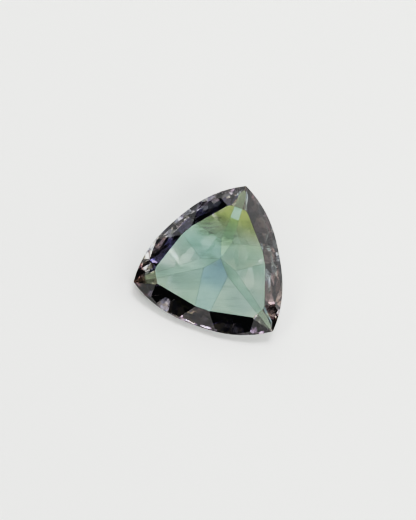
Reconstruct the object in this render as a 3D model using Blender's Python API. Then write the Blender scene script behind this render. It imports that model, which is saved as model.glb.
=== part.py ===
"""A trillion-cut tanzanite: one faceted stone, lying on a facet of its pavilion.

The stone is cut as a cutter cuts it. A blank with the outline of the girdle, a triangle with
bulging sides, is trimmed by one flat cut for each facet, and is then turned so that the facet
below its front side lies on the ground. Metres, +Z up, the origin on the ground under the
middle of the stone.
"""
import math

import bmesh
import bpy
from mathutils import Matrix, Vector

MM = 0.001

# Outline of the girdle
CORNER_TO_CORNER = 8.0 * MM
SIDE_BULGE = 0.1357 * CORNER_TO_CORNER
SIDE_FULLNESS = 2.5
CORNER_FLAT = 0.12 * MM
FLATS_PER_SIDE = 20

# Heights above and below the middle of the girdle
HALF_GIRDLE = 0.09 * MM
CROWN_HEIGHT = 0.66 * MM
PAVILION_DEPTH = 2.05 * MM

# Table, as distances from the middle of the stone to its edges
TABLE_TO_SIDES = (2.42 * MM, 2.54 * MM, 2.54 * MM)
TABLE_SIDE_MIDDLE = 0.76 * MM
TABLE_TO_CORNER = 3.34 * MM

# Crown facets beside the middle of each side: turned by these angles from it, at these slopes
STAR_TURN = 11.0
STAR_SLOPE = 31.0
UPPER_GIRDLE_TURN = 18.0
UPPER_GIRDLE_SLOPE = 43.0
CORNER_SIDE_TURN = 33.0
CORNER_SIDE_SLOPE = 34.5

# Pavilion: its point, the culet, stands away from the middle, toward the rear corner
CULET_OFFSET = 0.46 * MM
MAIN_DROPS = (0.19 * MM, 0.22 * MM, 0.22 * MM)
KEEL_DROP = 0.22 * MM
WAIST_RUN = 1.05 * MM
FLANK_TURN = 15.0
FLANK_DROP = 0.06 * MM
LOWER_GIRDLE_TURNS = (6.5, 24.5)
LOWER_GIRDLE_SLOPE = 44.0

# Directions of the rear corner and of the side that the stone lies on, seen with the table up
REAR_CORNER = 70.5
CORNERS = (REAR_CORNER, REAR_CORNER + 120.0, REAR_CORNER + 240.0)
SIDES = (REAR_CORNER + 180.0, REAR_CORNER + 60.0, REAR_CORNER + 300.0)
TURN_ON_GROUND = 17.0

UP = Vector((0.0, 0.0, 1.0))
SLIVER = 0.0001 * MM
SHORTEST_EDGE = 0.003 * MM


def direction(azimuth):
    """The level direction at an azimuth in degrees, counted from +X toward +Y."""
    return Vector((math.cos(math.radians(azimuth)), math.sin(math.radians(azimuth)), 0.0))


def girdle_outline():
    """Points round the girdle: three bulging sides, with a short flat across each corner."""
    corner_radius = CORNER_TO_CORNER / math.sqrt(3.0)
    side_distance = corner_radius / 2.0
    half_side = CORNER_TO_CORNER / 2.0
    half_run = half_side - CORNER_FLAT / 2.0 * math.cos(math.radians(60.0))
    points = []
    for azimuth in sorted(SIDES):
        outward = direction(azimuth)
        along = direction(azimuth + 90.0)
        for step in range(FLATS_PER_SIDE + 1):
            place = half_run * (2.0 * step / FLATS_PER_SIDE - 1.0)
            share = abs(place) / half_side
            bulge = SIDE_BULGE * (1.0 - share ** SIDE_FULLNESS)
            points.append(outward * (side_distance + bulge) + along * place)
    return points


def reach(outline, azimuth):
    """How far the outline reaches in a direction, from the middle of the stone."""
    return max(point.dot(direction(azimuth)) for point in outline)


def slope_between(drop, run):
    """The slope in degrees of a facet that drops by one distance over another."""
    return math.degrees(math.atan2(drop, run))


def trim(stone, place, normal):
    """Cut one flat facet through a place, and keep what lies behind its outward normal."""
    whole = stone.verts[:] + stone.edges[:] + stone.faces[:]
    cut = bmesh.ops.bisect_plane(
        stone, geom=whole, dist=SLIVER, plane_co=place, plane_no=normal, clear_outer=True)
    rim = [item for item in cut["geom_cut"] if isinstance(item, bmesh.types.BMEdge)]
    if len(rim) > 2:
        bmesh.ops.holes_fill(stone, edges=rim, sides=0)


def crown_normal(azimuth, slope):
    """The outward normal of a crown facet that faces an azimuth, at a slope in degrees."""
    lean = math.radians(slope)
    return direction(azimuth) * math.sin(lean) + UP * math.cos(lean)


def pavilion_normal(azimuth, slope):
    """The outward normal of a pavilion facet that faces an azimuth, at a slope in degrees."""
    lean = math.radians(slope)
    return direction(azimuth) * math.sin(lean) - UP * math.cos(lean)


def girdle_point(outline, azimuth, height):
    """A point at the rim of the stone in a direction, at a height from the girdle's middle."""
    return direction(azimuth) * reach(outline, azimuth) + UP * height


def cut_crown(stone, outline):
    """Cut the table, a bezel at each corner and each side, and the facets between them."""
    top = UP * (HALF_GIRDLE + CROWN_HEIGHT)
    trim(stone, top, UP)
    for azimuth in CORNERS:
        slope = slope_between(CROWN_HEIGHT, reach(outline, azimuth) - TABLE_TO_CORNER)
        trim(stone, top + direction(azimuth) * TABLE_TO_CORNER, crown_normal(azimuth, slope))
    star = math.radians(STAR_TURN)
    for azimuth, table_to_side in zip(SIDES, TABLE_TO_SIDES):
        slope = slope_between(CROWN_HEIGHT, reach(outline, azimuth) - table_to_side)
        trim(stone, top + direction(azimuth) * table_to_side, crown_normal(azimuth, slope))
        table_to_star = table_to_side * math.cos(star) + TABLE_SIDE_MIDDLE / 2.0 * math.sin(star)
        for hand in (-1.0, 1.0):
            place = azimuth + hand * STAR_TURN
            trim(stone, top + direction(place) * table_to_star, crown_normal(place, STAR_SLOPE))
            for turn, slope in ((UPPER_GIRDLE_TURN, UPPER_GIRDLE_SLOPE),
                                (CORNER_SIDE_TURN, CORNER_SIDE_SLOPE)):
                place = azimuth + hand * turn
                edge = girdle_point(outline, place, HALF_GIRDLE)
                trim(stone, edge, crown_normal(place, slope))


def culet():
    """The point at the bottom of the pavilion."""
    return direction(REAR_CORNER) * CULET_OFFSET - UP * (HALF_GIRDLE + PAVILION_DEPTH)


def culet_facet_normal(outline, azimuth, drop):
    """The normal of a facet that runs from the culet to a drop below the girdle's edge."""
    end = girdle_point(outline, azimuth, -HALF_GIRDLE - drop)
    path = end - culet()
    return pavilion_normal(azimuth, slope_between(path.z, path.dot(direction(azimuth))))


def cut_pavilion(stone, outline):
    """Cut the pavilion: a main below each side, a keel below each corner, flanks between them."""
    for azimuth in CORNERS:
        trim(stone, culet(), culet_facet_normal(outline, azimuth, KEEL_DROP))
    for azimuth, main_drop in zip(SIDES, MAIN_DROPS):
        main_normal = culet_facet_normal(outline, azimuth, main_drop)
        trim(stone, culet(), main_normal)
        for hand in (-1.0, 1.0):
            keel_normal = culet_facet_normal(outline, azimuth + hand * 60.0, KEEL_DROP)
            waist = culet() + waist_run(main_normal, keel_normal)
            place = azimuth + hand * FLANK_TURN
            path = girdle_point(outline, place, -HALF_GIRDLE - FLANK_DROP) - waist
            slope = slope_between(path.z, path.dot(direction(place)))
            trim(stone, waist, pavilion_normal(place, slope))
            for turn in LOWER_GIRDLE_TURNS:
                place = azimuth + hand * turn
                edge = girdle_point(outline, place, -HALF_GIRDLE)
                trim(stone, edge, pavilion_normal(place, LOWER_GIRDLE_SLOPE))


def waist_run(main_normal, keel_normal):
    """The way from the culet, up the edge between a main and a keel, to where a flank meets it."""
    edge = main_normal.cross(keel_normal)
    if edge.z < 0.0:
        edge.negate()
    return edge * (WAIST_RUN / edge.to_2d().length)


def lay_down(stone, outline):
    """Turn the stone onto the main below its front side, and set it on the ground."""
    front = SIDES[0]
    axle = direction(front + 90.0)
    rest_normal = culet_facet_normal(outline, front, MAIN_DROPS[0])
    tilt = Matrix.Rotation(rest_normal.angle(-UP), 3, axle)
    turn = Matrix.Rotation(math.radians(TURN_ON_GROUND), 3, "Z")
    bmesh.ops.rotate(stone, cent=(0.0, 0.0, 0.0), matrix=turn @ tilt, verts=stone.verts)
    low = Vector(min(vert.co[axis] for vert in stone.verts) for axis in range(3))
    high = Vector(max(vert.co[axis] for vert in stone.verts) for axis in range(3))
    foot = Vector(((low.x + high.x) / 2.0, (low.y + high.y) / 2.0, low.z))
    bmesh.ops.translate(stone, vec=-foot, verts=stone.verts)


def cut_stone():
    """The whole stone as one closed, convex body of flat facets."""
    outline = girdle_outline()
    stone = bmesh.new()
    rim = [stone.verts.new(point) for point in outline]
    blank = stone.faces.new(rim)
    bmesh.ops.translate(stone, vec=(0.0, 0.0, -CORNER_TO_CORNER / 2.0), verts=rim)
    top = bmesh.ops.extrude_face_region(stone, geom=[blank])["geom"]
    raised = [item for item in top if isinstance(item, bmesh.types.BMVert)]
    bmesh.ops.translate(stone, vec=(0.0, 0.0, CORNER_TO_CORNER), verts=raised)
    bmesh.ops.recalc_face_normals(stone, faces=stone.faces)
    cut_crown(stone, outline)
    cut_pavilion(stone, outline)
    bmesh.ops.remove_doubles(stone, verts=stone.verts, dist=SHORTEST_EDGE)
    lay_down(stone, outline)
    bmesh.ops.recalc_face_normals(stone, faces=stone.faces)
    mesh = bpy.data.meshes.new("tanzanite")
    stone.to_mesh(mesh)
    stone.free()
    mesh.shade_flat()
    return mesh


def tanzanite_material():
    """Polished, see-through tanzanite, pale blue-green."""
    material = bpy.data.materials.new("tanzanite")
    material.use_nodes = True
    shader = material.node_tree.nodes["Principled BSDF"]
    shader.inputs["Base Color"].default_value = (0.42, 0.62, 0.55, 1.0)
    shader.inputs["Roughness"].default_value = 0.02
    shader.inputs["Metallic"].default_value = 0.0
    shader.inputs["IOR"].default_value = 1.69
    shader.inputs["Transmission Weight"].default_value = 1.0
    return material


def main():
    for old in list(bpy.data.objects):
        bpy.data.objects.remove(old, do_unlink=True)
    mesh = cut_stone()
    mesh.materials.append(tanzanite_material())
    stone = bpy.data.objects.new("tanzanite", mesh)
    bpy.context.scene.collection.objects.link(stone)


main()
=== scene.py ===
import math
import random

import bmesh
import bpy
from bpy.props import FloatProperty, FloatVectorProperty, IntProperty, PointerProperty
from mathutils import Matrix, Vector


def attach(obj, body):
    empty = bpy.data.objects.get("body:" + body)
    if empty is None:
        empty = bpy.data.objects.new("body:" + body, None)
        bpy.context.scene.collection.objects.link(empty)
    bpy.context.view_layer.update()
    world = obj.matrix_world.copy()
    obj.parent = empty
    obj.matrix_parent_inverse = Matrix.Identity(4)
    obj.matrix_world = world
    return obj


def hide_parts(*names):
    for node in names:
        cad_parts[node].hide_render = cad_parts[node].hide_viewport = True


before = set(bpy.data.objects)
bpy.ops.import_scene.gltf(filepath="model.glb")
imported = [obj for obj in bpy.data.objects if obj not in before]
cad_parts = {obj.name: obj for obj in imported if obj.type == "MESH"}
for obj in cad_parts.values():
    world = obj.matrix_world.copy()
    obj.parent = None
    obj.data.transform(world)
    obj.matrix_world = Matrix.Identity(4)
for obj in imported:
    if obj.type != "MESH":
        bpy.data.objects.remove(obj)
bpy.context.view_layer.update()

bl_info = {
    "name": "Trillion-cut tanzanite",
    "version": (1, 0, 0),
    "blender": (4, 5, 0),
    "location": "3D View > Sidebar > Tanzanite",
    "description": "Polishes the cut stone, colours its crystal and sets it on a pale floor",
    "category": "Object",
}

NODE = "tanzanite"
MM = 0.001

# The photograph's frame in pixels, the middle of the girdle's corners in it, and how far two
# corners are apart, in pixels and on the stone
PHOTO_WIDTH, PHOTO_HEIGHT = 416, 520
GIRDLE_PIXEL = (217.5, 266.4)
PIXELS_PER_SIDE = 148.0
CORNER_TO_CORNER = 8.0 * MM

# Joining the solid's triangles into facets: places this near are one, and so are faces that turn
# by less than this, in degrees
SAME_PLACE = 0.0005 * MM
FLAT_WITHIN = 0.3

# The table is the largest facet that faces up at least this much
FACING_UP = 0.5

# The girdle's three corners stand well apart, and each is a short flat
CORNERS_APART = 2.0 * MM
CORNER_SIZE = 0.25 * MM


class Cut:
    """The stone's own directions: out of its table, toward its rear corner, and across."""

    def __init__(self, bm):
        upper = [face for face in bm.faces if face.normal.z > FACING_UP]
        table = max(upper, key=lambda face: face.calc_area())
        self.out = table.normal.normalized()
        centre = sum((vertex.co for vertex in bm.verts), Vector()) / len(bm.verts)
        corners = []
        while len(corners) < 3:
            free = [vertex.co for vertex in bm.verts
                    if all((vertex.co - corner).length > CORNERS_APART for corner in corners)]
            tip = max(free, key=lambda place: self.level(place - centre).length)
            near = [place for place in free if (place - tip).length < CORNER_SIZE]
            corners.append(sum(near, Vector()) / len(near))
        self.middle = sum(corners, Vector()) / 3.0
        rear = max(corners, key=lambda corner: corner.z)
        self.rear = self.level(rear - self.middle).normalized()
        self.across = self.rear.cross(self.out).normalized()

    def level(self, vector):
        """The part of a vector that runs along the table."""
        return vector - self.out * vector.dot(self.out)

    def slope(self, normal):
        """How far a facet leans from the table, in degrees."""
        return math.degrees(normal.angle(self.out))

    def azimuth(self, vector):
        """A direction round the stone in degrees, 0 at the rear corner and 90 to the right."""
        return math.degrees(math.atan2(vector.dot(self.across), vector.dot(self.rear)))


def merged_stone():
    """A copy of the solid with its triangles joined into whole facets."""
    bm = bmesh.new()
    bm.from_mesh(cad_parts[NODE].data)
    bmesh.ops.remove_doubles(bm, verts=bm.verts, dist=SAME_PLACE)
    bmesh.ops.dissolve_limit(
        bm, angle_limit=math.radians(FLAT_WITHIN), verts=bm.verts, edges=bm.edges)
    bm.normal_update()
    return bm


class Wire:
    """A shader socket that sums, products and shares can be written with."""

    def __init__(self, tree, socket=None):
        self.tree = tree
        self.socket = socket

    def add(self, kind, settings=None, inputs=None, out=0):
        """Add a node, set it up, and give back one of its outputs."""
        node = self.tree.nodes.new(kind)
        for name, value in (settings or {}).items():
            setattr(node, name, value)
        for name, value in (inputs or {}).items():
            if isinstance(value, Wire):
                self.tree.links.new(value.socket, node.inputs[name])
            else:
                node.inputs[name].default_value = value
        return Wire(self.tree, node.outputs[out])

    def math(self, operation, *values):
        """Add Math on wires or numbers."""
        return self.add("ShaderNodeMath", {"operation": operation}, dict(enumerate(values)))

    def vector(self, operation, *values, out=0):
        """Add Vector Math on wires or vectors."""
        inputs = dict(enumerate(values))
        return self.add("ShaderNodeVectorMath", {"operation": operation}, inputs, out)

    def __add__(self, other):
        return self.math("ADD", self, other)

    __radd__ = __add__

    def __sub__(self, other):
        return self.math("SUBTRACT", self, other)

    def __rsub__(self, other):
        return self.math("SUBTRACT", other, self)

    def __mul__(self, other):
        return self.math("MULTIPLY", self, other)

    def __truediv__(self, other):
        return self.math("DIVIDE", self, other)

    def smooth(self, low, high):
        """0 below one value, 1 above another, and a soft step between them."""
        inputs = {"Value": self, "From Min": low, "From Max": high}
        return self.add("ShaderNodeMapRange", {"interpolation_type": "SMOOTHSTEP"}, inputs)


def colour_of(values):
    """A colour with its alpha, as a shader socket takes it."""
    return (*values, 1.0)


def blend_colours(start, factor, first, second, mode="MIX"):
    """Mix two colours by a factor that may change over the surface."""
    settings = {"data_type": "RGBA", "blend_type": mode}
    return start.add("ShaderNodeMix", settings, {0: factor, 6: first, 7: second}, out=2)


def tinted(colour, share, tint):
    """A colour as it shows through a tint, in full or in part."""
    return blend_colours(colour, share, colour, tint, "MULTIPLY")


def channels(colour, count):
    """The first of a colour's red, green and blue."""
    return [colour.add("ShaderNodeSeparateColor", None, {0: colour}, out=index)
            for index in range(count)]


def painted(start, name):
    """What is painted on the facets under a name: its colour and its alpha."""
    return [start.add("ShaderNodeAttribute", {"attribute_name": name}, out=out)
            for out in ("Color", "Alpha")]


# Slopes from the table, in degrees, that end the table and the crown and begin the pavilion
TABLE_SLOPE, CROWN_SLOPE, PAVILION_SLOPE = 5.0, 80.0, 100.0

# Facets by how far round they face from the nearest corner, in degrees: a side's middle is at 60
BETWEEN_CORNERS = 120.0
CROWN_FACETS = {"corner bezel": 0.0, "corner side": 27.0, "upper girdle": 42.0, "star": 49.0,
                "middle bezel": 60.0}
PAVILION_FACETS = {"keel": 0.0, "outer lower girdle": 35.5, "flank": 45.0,
                   "inner lower girdle": 53.5, "main": 60.0}
SIDES = {"front": 180.0, "left": -60.0, "right": 60.0}
CORNERS = {"rear": 0.0, "left": -120.0, "right": 120.0}

# Painted light and shade, with some hue, on some facets by name and place: how much of the
# stone's own tint each lets through. The crown is painted dark at the front, where shade falls,
# with a lighter violet reflection on its middle bezel there, and lighter at the left and the
# right, where it shows reflections. The left and right keels and the lower girdle facets at the
# front carry painted shade; the mains, the rear keel and the corner bezels shift the hue.
FACET_LIGHT_SHADE_AND_HUE = {
    ("main", "front"): (0.96, 1.0, 1.09),
    ("main", "left"): (0.90, 1.0, 1.0),
    ("main", "right"): (1.0, 1.0, 0.92),
    ("keel", "rear"): (0.84, 1.0, 0.80),
    ("keel", "left"): (0.85, 0.91, 0.87),
    ("keel", "right"): (0.60, 0.66, 0.63),
    ("outer lower girdle", "front"): (0.3, 0.25, 0.3),
    ("inner lower girdle", "front"): (0.3, 0.25, 0.3),
    ("middle bezel", "front"): (1.7, 1.3, 1.9),
    ("corner side", "front"): (0.5, 0.4, 0.6),
    ("upper girdle", "front"): (0.35, 0.3, 0.4),
    ("corner side", "left"): (2.9, 2.9, 2.8),
    ("upper girdle", "left"): (3.0, 3.0, 2.9),
    ("middle bezel", "left"): (1.6, 1.6, 1.8),
    ("star", "left"): (1.4, 1.4, 1.7),
    ("corner side", "right"): (1.2, 1.5, 1.55),
    ("upper girdle", "right"): (1.25, 1.5, 1.55),
    ("star", "right"): (1.3, 1.5, 1.6),
    ("middle bezel", "right"): (1.3, 1.5, 1.6),
    ("corner bezel", "rear"): (0.90, 0.78, 0.68),
    ("corner bezel", "right"): (0.80, 0.85, 0.90),
    ("corner bezel", "left"): (0.95, 0.88, 0.85),
}

# How strongly the crown's facets are painted with patches of reflection and shade, lighter and
# darker, by their side
REFLECTION_PATCH_SHARES = {"left": 1.0, "front": 0.8, "right": 0.85}


def nearest(places, azimuth):
    """The name of the place that faces nearest to an azimuth."""
    return min(places, key=lambda name: abs((places[name] - azimuth + 180.0) % 360.0 - 180.0))


def facet_name(face, cut):
    """Which of the cut's facets a face is, and at which side or corner of the stone."""
    slope = cut.slope(face.normal)
    azimuth = cut.azimuth(face.normal)
    if slope < TABLE_SLOPE:
        return "table", "middle"
    if CROWN_SLOPE < slope < PAVILION_SLOPE:
        return "girdle", "rim"
    to_side = BETWEEN_CORNERS / 2.0
    from_corner = abs((azimuth + to_side) % BETWEEN_CORNERS - to_side)
    facets = CROWN_FACETS if slope <= CROWN_SLOPE else PAVILION_FACETS
    name = min(facets, key=lambda name: abs(facets[name] - from_corner))
    return name, nearest(CORNERS if facets[name] == 0.0 else SIDES, azimuth)


def facet_tint(name, place, settings):
    """The tint of one facet, by its name and where it faces."""
    tints = {"table": settings.table_tint, "girdle": settings.girdle_tint,
             "corner bezel": settings.corner_tint}
    other = settings.crown_tint if name in CROWN_FACETS else settings.pavilion_tint
    shares = FACET_LIGHT_SHADE_AND_HUE.get((name, place), (1.0, 1.0, 1.0))
    return [value * share for value, share in zip(tints.get(name, other), shares)]


def tint_facets(bm, cut, settings):
    """Give each facet the tint that the crystal shows through it, and mark some for the shader.

    The tints carry painted light and shade on some facets. The marks are red for the ground girdle,
    green for the crown facets with painted shade along the table, blue for the facets over which
    the crystal is blue, and alpha for the crown facets painted with patches of reflection and
    shade. The tint's alpha marks the pavilion, where the crystal's zones and the painted shade over
    the window show.
    """
    tints = bm.loops.layers.float_color.new("tint")
    marks = bm.loops.layers.float_color.new("marks")
    chance = random.Random(settings.seed)
    for face in bm.faces:
        name, place = facet_name(face, cut)
        shade = 1.0 + settings.facet_variation * chance.uniform(-1.0, 1.0)
        tint = [min(1.0, value * shade) for value in facet_tint(name, place, settings)]
        ground = 1.0 if name == "girdle" else 0.0
        on_side = name in CROWN_FACETS and name != "corner bezel"
        # Painted shade along the table on the crown's left and front; the right, which shows
        # reflections, has none
        dusk = 1.0 if on_side and place != "right" else 0.0
        blue = 1.0 if (name, place) in (("main", "front"), ("keel", "rear")) else 0.0
        # Patches of painted reflection and shade on the crown's side facets
        reflection_patches = REFLECTION_PATCH_SHARES[place] if on_side else 0.0
        below = 1.0 if name in PAVILION_FACETS else 0.0
        for loop in face.loops:
            loop[tints] = (*tint, below)
            loop[marks] = (ground, dusk, blue, reflection_patches)


def darken_edges(bm, faces, cut, share):
    """Paint the worn edges between the facets below the girdle as fine dark lines of shade."""
    tints = bm.loops.layers.float_color["tint"]
    for face in faces:
        if cut.slope(face.normal) > PAVILION_SLOPE:
            for loop in face.loops:
                red, green, blue, below = loop[tints]
                loop[tints] = (red * share, green * share, blue * share, below)


class TanzaniteSettings(bpy.types.PropertyGroup):
    edge_width: FloatProperty(
        name="Facet edge width", description="How wide the worn edge between two facets is",
        default=0.016 * MM, unit="LENGTH", precision=6)
    # Painted shade: the worn edges below the girdle let little light through, as fine dark lines
    edge_line_shade: FloatProperty(
        name="Edge clearness", description="How much light the worn edges below let through",
        default=0.10, subtype="FACTOR")
    seed: IntProperty(name="Seed", description="Seed of the facets' small differences", default=7)
    facet_variation: FloatProperty(
        name="Facet variation", description="How far the facets differ in tint", default=0.05,
        subtype="FACTOR")
    table_tint: FloatVectorProperty(
        name="Table", description="Tint of the table", subtype="COLOR", default=(0.88, 1.0, 0.93))
    crown_tint: FloatVectorProperty(
        name="Crown", description="Tint of the facets round the table", subtype="COLOR",
        default=(0.24, 0.21, 0.21))
    corner_tint: FloatVectorProperty(
        name="Corner bezels", description="Tint of the crown facets at the three corners",
        subtype="COLOR", default=(0.36, 0.34, 0.24))
    girdle_tint: FloatVectorProperty(
        name="Girdle", description="Tint of the ground girdle", subtype="COLOR",
        default=(0.20, 0.16, 0.15))
    pavilion_tint: FloatVectorProperty(
        name="Pavilion", description="Tint of the facets below", subtype="COLOR",
        default=(0.87, 1.0, 0.92))
    # Painted shade over the rear half of the window, with a slight shift of hue
    rear_shade_tint: FloatVectorProperty(
        name="Rear half", description="What the crystal's rear half lets through",
        subtype="COLOR", default=(0.56, 0.66, 0.65))
    olive_tint: FloatVectorProperty(
        name="Olive zone", description="What the crystal near its rear corner lets through",
        subtype="COLOR", default=(0.46, 0.38, 0.11))
    # Painted shade round the culet, at the front of the window and on the keel past the wedge
    culet_shade_tint: FloatVectorProperty(
        name="Over the culet", description="What the crystal round its culet lets through",
        subtype="COLOR", default=(0.76, 0.78, 0.82))
    blue_tint: FloatVectorProperty(
        name="Blue heart", description="What the crystal over its culet lets through",
        subtype="COLOR", default=(0.82, 0.85, 1.0))
    # Painted shade on the crown along the table
    rim_shade_tint: FloatVectorProperty(
        name="Dark rim", description="What the crown lets through close to the table",
        subtype="COLOR", default=(0.02, 0.018, 0.05))
    tip_tint: FloatVectorProperty(
        name="Left tip", description="What the crystal at its left corner lets through",
        subtype="COLOR", default=(0.16, 0.08, 0.07))
    # Painted shade over the window behind the middle, left of the rear corner
    shade_zone_tint: FloatVectorProperty(
        name="Painted shade zone", description="What the layered crystal behind the middle lets through",
        subtype="COLOR", default=(0.46, 0.50, 0.44))
    mottling: FloatProperty(
        name="Growth lines", description="How strongly the crystal's fine layers show",
        default=0.08, subtype="FACTOR")
    # The size of the crown's painted patches of reflection and shade
    reflection_patch_size: FloatProperty(
        name="Patch size", description="Size of the patches that the crown shows",
        default=0.34 * MM, unit="LENGTH", precision=6)
    girdle_roughness: FloatProperty(
        name="Girdle roughness", description="How matt the ground girdle is", default=0.45,
        subtype="FACTOR")
    body_colour: FloatVectorProperty(
        name="Body colour", description="Colour that a long way through the crystal leaves",
        subtype="COLOR", default=(0.50, 0.56, 0.54))
    body_density: FloatProperty(
        name="Body density", description="How fast the crystal takes light up, per metre",
        default=8.0, min=0.0)
    index: FloatProperty(
        name="Refractive index", description="Refractive index of the crystal", default=1.69)


# Zones of the crystal and of painted shade, in millimetres along the table from the middle of the
# girdle's corners: u runs to the right and v toward the rear corner. A pair is the range of a soft
# step along v.
# The rear half carries painted shade: the window darker toward the rear corner
REAR_HALF = (-0.4, 0.8)
OLIVE_ZONE = (0.8, 2.8)
HEART_START, HEART_END = (-1.6, -0.2), (0.6, 0.8)
WEDGE_START, WEDGE_END = (0.55, 0.65), (1.5, 1.7)
KEEL_END = (2.70, 2.76)

# The left tip begins this far out toward the left corner
LEFT_TIP = (3.85, 4.0)

# How far the blue facets keep out of the tints that lie round them: the wedge over the culet keeps
# out of the painted shade, so it is painted lighter than round it, and the keel's end out of the
# olive
WEDGE_FREE_OF_REAR = 0.85
WEDGE_FREE_OF_CULET = 0.7
KEEL_END_FREE_OF_OLIVE = 0.5

# Spots on the table: middle, radii across and toward the rear corner, and strength. The culet's,
# the two front ones and the one behind the middle are painted shade over the window; the heart's
# is the crystal's blue, and the lines' makes the growth lines stronger.
CULET_SHADE_SPOT = ((0.1, 0.1), (1.7, 1.6), 1.0)
FRONT_RIGHT_SHADE_SPOT = ((2.0, -1.2), (1.4, 1.0), 0.9)
FRONT_LEFT_SHADE_SPOT = ((-1.9, -1.2), (1.7, 0.8), 1.0)
HEART_SPOT = ((-1.0, -0.3), (1.1, 0.9), 0.3)
PAINTED_SHADE_SPOT = ((-0.7, 2.0), (1.7, 1.0), 0.95)
LINES_SPOT = ((-0.65, 1.85), (1.5, 1.0), 4.5)

# The crown's painted patches of reflection and shade: how far their brightness spreads, how
# dark the darkest are, and their hues
PATCH_SPREAD = 1.9
PATCH_DARKENING = 0.94
WARM_PATCH = (1.15, 1.0, 0.80)
COLD_PATCH = (0.85, 0.90, 1.30)

# The dark rim, painted shade on the crown along the table: the height in millimetres from which
# it shows, and how far patches shift that
DUSK_HEIGHT = (0.62, 0.66)
DUSK_SHIFT = 0.3

# Growth lines run level in the photograph, in which the rear corner leans over by this angle.
# They are noise, drawn out along the lines and pressed together across them. Its peaks show.
PICTURE_TURN = math.radians(19.5)
ALONG_LINES, ACROSS_LINES = 0.5, 3.2
LINES_NOISE = {"Scale": 1.5, "Detail": 4.0, "Distortion": 0.4}
LINES_SHOWN = (0.5, 0.75)

# A fine grain in the crystal, beside the growth lines
GRAIN_NOISE = {"Scale": 3600.0, "Detail": 3.0}
GRAIN_SHOWN = (0.45, 0.8)
GRAIN_SHARE = 0.6


def spot(u, v, centre, radii, strength):
    """An oval spot on the table: its strength in its middle, and 0 beyond its radii."""
    across = (u - centre[0]) / radii[0]
    along = (v - centre[1]) / radii[1]
    return (1.0 - (across * across + along * along).smooth(0.0, 1.0)) * strength


def zones_and_painted_shade(u, v, blue, below, settings):
    """Where each of the crystal's tints and of the painted shade shows, and the tint, in the order
    that they are laid on.
    """
    # Painted shade: the rear half, the culet's surround, the front spots, the keel past the wedge
    # and the spot behind the middle; the wedge keeps out of it and shows lighter. The olive zone
    # and the blue heart are the crystal's colour.
    wedge = blue * v.smooth(*WEDGE_START) * (1.0 - v.smooth(*WEDGE_END))
    keel_end = blue * v.smooth(*KEEL_END)
    rear = v.smooth(*REAR_HALF) * (1.0 - wedge * WEDGE_FREE_OF_REAR) * below
    olive = v.smooth(*OLIVE_ZONE) * (1.0 - keel_end * KEEL_END_FREE_OF_OLIVE) * below
    culet = spot(u, v, *CULET_SHADE_SPOT) * (1.0 - wedge * WEDGE_FREE_OF_CULET) * below
    front = (spot(u, v, *FRONT_RIGHT_SHADE_SPOT) + spot(u, v, *FRONT_LEFT_SHADE_SPOT)) * below
    culet = culet + front + blue * v.smooth(*WEDGE_END)
    heart = spot(u, v, *HEART_SPOT) * below + keel_end
    heart = heart + blue * v.smooth(*HEART_START) * (1.0 - v.smooth(*HEART_END))
    to_left = math.radians(CORNERS["left"])
    tip = (u * math.sin(to_left) + v * math.cos(to_left)).smooth(*LEFT_TIP)
    shaded = spot(u, v, *PAINTED_SHADE_SPOT) * below
    return (
        (rear, settings.rear_shade_tint),
        (olive, settings.olive_tint),
        (culet, settings.culet_shade_tint),
        (heart, settings.blue_tint),
        (tip, settings.tip_tint),
        (shaded, settings.shade_zone_tint),
    )


def crown_reflection_patches(colour, from_middle, height, dusk, reflection_patches, settings):
    """Paint patches of reflection and shade on the crown, with shade darkest along the table."""
    inputs = {"Vector": from_middle, "Scale": 1.0 / settings.reflection_patch_size}
    cells = colour.add("ShaderNodeTexVoronoi", None, inputs, out="Color")
    chance, hue = channels(cells, 2)
    shade = 1.0 + (chance * chance * PATCH_SPREAD - PATCH_DARKENING) * reflection_patches
    colour = tinted(colour, 1.0, shade)
    hues = blend_colours(hue, hue, colour_of(WARM_PATCH), colour_of(COLD_PATCH))
    colour = tinted(colour, reflection_patches, hues)
    inner = (height + chance * DUSK_SHIFT).smooth(*DUSK_HEIGHT) * dusk
    return tinted(colour, inner, colour_of(settings.rim_shade_tint))


def growth_lines(colour, from_middle, u, v, settings):
    """Draw the crystal's growth lines, strongest left of the rear corner, and its grain."""
    cosine, sine = math.cos(PICTURE_TURN), math.sin(PICTURE_TURN)
    level = (u * cosine + v * sine) * ALONG_LINES
    rise = (v * cosine - u * sine) * ACROSS_LINES
    layers = colour.add("ShaderNodeCombineXYZ", None, {"X": level, "Y": rise, "Z": 0.0})
    lines = colour.add(
        "ShaderNodeTexNoise", {"noise_dimensions": "2D"}, {"Vector": layers, **LINES_NOISE})
    grain = colour.add("ShaderNodeTexNoise", None, {"Vector": from_middle, **GRAIN_NOISE})
    strength = 1.0 + spot(u, v, *LINES_SPOT)
    shade = 1.0 - lines.smooth(*LINES_SHOWN) * strength * settings.mottling
    shade = shade * (1.0 - grain.smooth(*GRAIN_SHOWN) * GRAIN_SHARE * settings.mottling)
    return tinted(colour, 1.0, shade)


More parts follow.
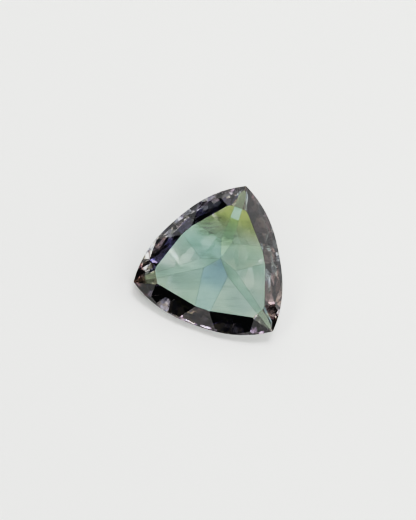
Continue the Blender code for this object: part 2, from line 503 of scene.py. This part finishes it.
def tanzanite_material(cut, settings):
    """See-through crystal: polished facets, a ground girdle, colour zones, and painted light and
    shade.
    """
    material = bpy.data.materials.new("polished tanzanite")
    material.use_nodes = True
    tree = material.node_tree
    shader = tree.nodes["Principled BSDF"]
    start = Wire(tree)
    place = start.add("ShaderNodeTexCoord", out="Object")
    from_middle = start.vector("SUBTRACT", place, cut.middle)
    u, v, height = (
        start.vector("DOT_PRODUCT", from_middle, axis, out="Value") / MM
        for axis in (cut.across, cut.rear, cut.out))
    colour, below = painted(start, "tint")
    marks, reflection_patches = painted(start, "marks")
    ground, dusk, blue = channels(marks, 3)
    for share, tint in zones_and_painted_shade(u, v, blue, below, settings):
        colour = tinted(colour, share, colour_of(tint))
    colour = crown_reflection_patches(colour, from_middle, height, dusk, reflection_patches, settings)
    colour = growth_lines(colour, from_middle, u, v, settings)
    tree.links.new(colour.socket, shader.inputs["Base Color"])
    tree.links.new((ground * settings.girdle_roughness).socket, shader.inputs["Roughness"])
    shader.inputs["IOR"].default_value = settings.index
    shader.inputs["Transmission Weight"].default_value = 1.0
    body = tree.nodes.new("ShaderNodeVolumeAbsorption")
    body.inputs["Color"].default_value = colour_of(settings.body_colour)
    body.inputs["Density"].default_value = settings.body_density
    output = tree.nodes["Material Output"]
    tree.links.new(body.outputs["Volume"], output.inputs["Volume"])
    return material


# Edges between facets that turn by more than this are worn, in degrees
SHARP_EDGE = 4.0


class TANZANITE_OT_stone(bpy.types.Operator):
    """Polish the cut stone: facets with slightly worn edges, on the solid's own shape"""

    bl_idname = "tanzanite.stone"
    bl_label = "Polished stone"

    def execute(self, context):
        settings = context.scene.tanzanite
        bm = merged_stone()
        cut = Cut(bm)
        tint_facets(bm, cut, settings)
        sharp = [edge for edge in bm.edges
                 if edge.calc_face_angle() > math.radians(SHARP_EDGE)]
        edges = bmesh.ops.bevel(
            bm, geom=sharp, offset=settings.edge_width, offset_type="OFFSET", affect="EDGES",
            segments=1, profile=0.5, material=-1, clamp_overlap=True)["faces"]
        bm.normal_update()
        darken_edges(bm, edges, cut, settings.edge_line_shade)
        mesh = bpy.data.meshes.new("cut_stone")
        bm.to_mesh(mesh)
        bm.free()
        mesh.shade_flat()
        mesh.materials.append(tanzanite_material(cut, settings))
        piece = bpy.data.objects.new("cut_stone", mesh)
        context.scene.collection.objects.link(piece)
        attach(piece, "root")
        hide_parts(NODE)
        return {"FINISHED"}


# The photograph's camera: height and roll in degrees, distance, the nearest place that it sees,
# and its sensor's width in millimetres
CAMERA_ELEVATION = 64.0
CAMERA_ROLL = 17.3
CAMERA_DISTANCE = 150.0 * MM
NEAREST_SEEN = 1.0 * MM
SENSOR = 36.0

# The floor and the room round it
FLOOR_RADIUS = 400.0 * MM
FLOOR_SEGMENTS = 96
FLOOR_GAP = 0.05 * MM
FLOOR_COLOUR = (0.90, 0.90, 0.875)
FLOOR_ROUGHNESS = 0.8
ROOM_COLOUR = (0.9, 0.95, 1.0)
ROOM_BRIGHTNESS = 0.09

# Softboxes: name, angle away from the line of sight and turn about it in degrees (0 is to the
# right, 90 is over the stone to the back), distance, width and height in metres, and brightness
LIGHTS = (
    ("back light", 46.0, 89.0, 0.30, 0.13, 0.105, 7.8),
    ("back left light", 42.0, 135.0, 0.30, 0.10, 0.10, 1.9),
    ("right light", 30.0, 354.0, 0.30, 0.11, 0.19, 3.3),
    ("front light", 19.0, 285.0, 0.30, 0.08, 0.07, 2.6),
    ("left light", 33.0, 197.0, 0.30, 0.14, 0.12, 1.6),
    ("low right panel", 72.0, 34.0, 0.25, 0.30, 0.17, 1.25),
    ("low front panel", 56.0, 330.0, 0.25, 0.08, 0.06, 0.9),
    ("low left light", 54.0, 252.0, 0.30, 0.08, 0.06, 1.4),
    ("low back panel", 68.0, 110.0, 0.25, 0.18, 0.17, 1.1),
    ("low left panel", 87.0, 148.0, 0.25, 0.20, 0.09, 0.8),
)

# How the camera answers to light: deep shadows, bright middle tones and soft highlights
TONE_CURVE = (
    (0.012, 0.004), (0.10, 0.095), (0.33, 0.46), (0.60, 0.69), (0.86, 0.80), (1.0, 0.88),
)

# The curve for red, green and blue together, among the view's four
COMBINED_CURVE = 3


def camera_axes():
    """The directions from the stone to the camera, to the right and up, before the camera rolls."""
    lift = math.radians(CAMERA_ELEVATION)
    back = Vector((0.0, -math.cos(lift), math.sin(lift)))
    right = Vector((1.0, 0.0, 0.0))
    return back, right, back.cross(right)


def placed(right, up, back, place):
    """The matrix of a thing whose own X, Y and Z run along these directions."""
    matrix = Matrix((right, up, back)).transposed().to_4x4()
    matrix.translation = place
    return matrix


def place_camera(context, cut):
    """The photograph's view: almost straight onto the table, a little turned."""
    back, right, up = camera_axes()
    roll = Matrix.Rotation(math.radians(CAMERA_ROLL), 3, back)
    right, up = roll @ right, roll @ up
    metre_per_pixel = CORNER_TO_CORNER / PIXELS_PER_SIDE
    aim = cut.middle + right * (PHOTO_WIDTH / 2.0 - GIRDLE_PIXEL[0]) * metre_per_pixel
    aim -= up * (PHOTO_HEIGHT / 2.0 - GIRDLE_PIXEL[1]) * metre_per_pixel
    camera = bpy.data.cameras.new("camera")
    camera.sensor_width = SENSOR
    camera.lens = SENSOR * CAMERA_DISTANCE / (PHOTO_HEIGHT * metre_per_pixel)
    camera.clip_start = NEAREST_SEEN
    holder = bpy.data.objects.new("camera", camera)
    holder.matrix_world = placed(right, up, back, aim + back * CAMERA_DISTANCE)
    context.scene.collection.objects.link(holder)
    context.scene.camera = holder


def softbox(context, name, angle, turn, distance, width, height, brightness):
    """A rectangular soft light that faces the stone."""
    back, right, up = camera_axes()
    radial = right * math.cos(math.radians(turn)) + up * math.sin(math.radians(turn))
    outward = back * math.cos(math.radians(angle)) + radial * math.sin(math.radians(angle))
    along = outward.cross(radial).normalized()
    lamp = bpy.data.lights.new(name, "AREA")
    lamp.shape = "RECTANGLE"
    lamp.size = width
    lamp.size_y = height
    lamp.energy = brightness * math.pi * width * height
    holder = bpy.data.objects.new(name, lamp)
    holder.matrix_world = placed(along, outward.cross(along), outward, outward * distance)
    context.scene.collection.objects.link(holder)


def set_tones(view):
    """Show the scene with the camera's tone curve."""
    view.view_transform = "Standard"
    view.use_curve_mapping = True
    curve = view.curve_mapping.curves[COMBINED_CURVE]
    for place, value in TONE_CURVE[:-1]:
        curve.points.new(place, value)
    curve.points[-1].location = TONE_CURVE[-1]
    view.curve_mapping.update()


def lay_floor(context):
    """A wide, pale, level floor just below the stone."""
    bm = bmesh.new()
    bmesh.ops.create_circle(bm, cap_ends=True, segments=FLOOR_SEGMENTS, radius=FLOOR_RADIUS)
    mesh = bpy.data.meshes.new("floor")
    bm.to_mesh(mesh)
    bm.free()
    mesh.transform(Matrix.Translation((0.0, 0.0, -FLOOR_GAP)))
    floor = bpy.data.objects.new("floor", mesh)
    context.scene.collection.objects.link(floor)
    material = bpy.data.materials.new("pale floor")
    material.use_nodes = True
    shader = material.node_tree.nodes["Principled BSDF"]
    shader.inputs["Base Color"].default_value = colour_of(FLOOR_COLOUR)
    shader.inputs["Roughness"].default_value = FLOOR_ROUGHNESS
    mesh.materials.append(material)


def light_room(context):
    """A weak, cool light from all round."""
    world = bpy.data.worlds.new("studio")
    world.use_nodes = True
    background = world.node_tree.nodes["Background"]
    background.inputs["Color"].default_value = colour_of(ROOM_COLOUR)
    background.inputs["Strength"].default_value = ROOM_BRIGHTNESS
    context.scene.world = world


class TANZANITE_OT_stage(bpy.types.Operator):
    """Set the stone on a pale floor in soft light, and place the camera"""

    bl_idname = "tanzanite.stage"
    bl_label = "Stage"

    def execute(self, context):
        stone = merged_stone()
        cut = Cut(stone)
        stone.free()
        lay_floor(context)
        for row in LIGHTS:
            softbox(context, *row)
        light_room(context)
        set_tones(context.scene.view_settings)
        place_camera(context, cut)
        return {"FINISHED"}


class TANZANITE_PT_panel(bpy.types.Panel):
    """The tanzanite's settings and its pieces"""

    bl_idname = "TANZANITE_PT_panel"
    bl_label = "Tanzanite"
    bl_space_type = "VIEW_3D"
    bl_region_type = "UI"
    bl_category = "Tanzanite"

    def draw(self, context):
        for name in TanzaniteSettings.__annotations__:
            self.layout.prop(context.scene.tanzanite, name)
        for operator in OPERATORS:
            self.layout.operator(operator.bl_idname)


OPERATORS = (TANZANITE_OT_stone, TANZANITE_OT_stage)
CLASSES = (TanzaniteSettings, *OPERATORS, TANZANITE_PT_panel)


def register():
    for each in CLASSES:
        bpy.utils.register_class(each)
    bpy.types.Scene.tanzanite = PointerProperty(type=TanzaniteSettings)


def unregister():
    del bpy.types.Scene.tanzanite
    for each in reversed(CLASSES):
        bpy.utils.unregister_class(each)


def main():
    register()
    bpy.ops.tanzanite.stone()
    bpy.ops.tanzanite.stage()


if __name__ == "__main__":
    main()
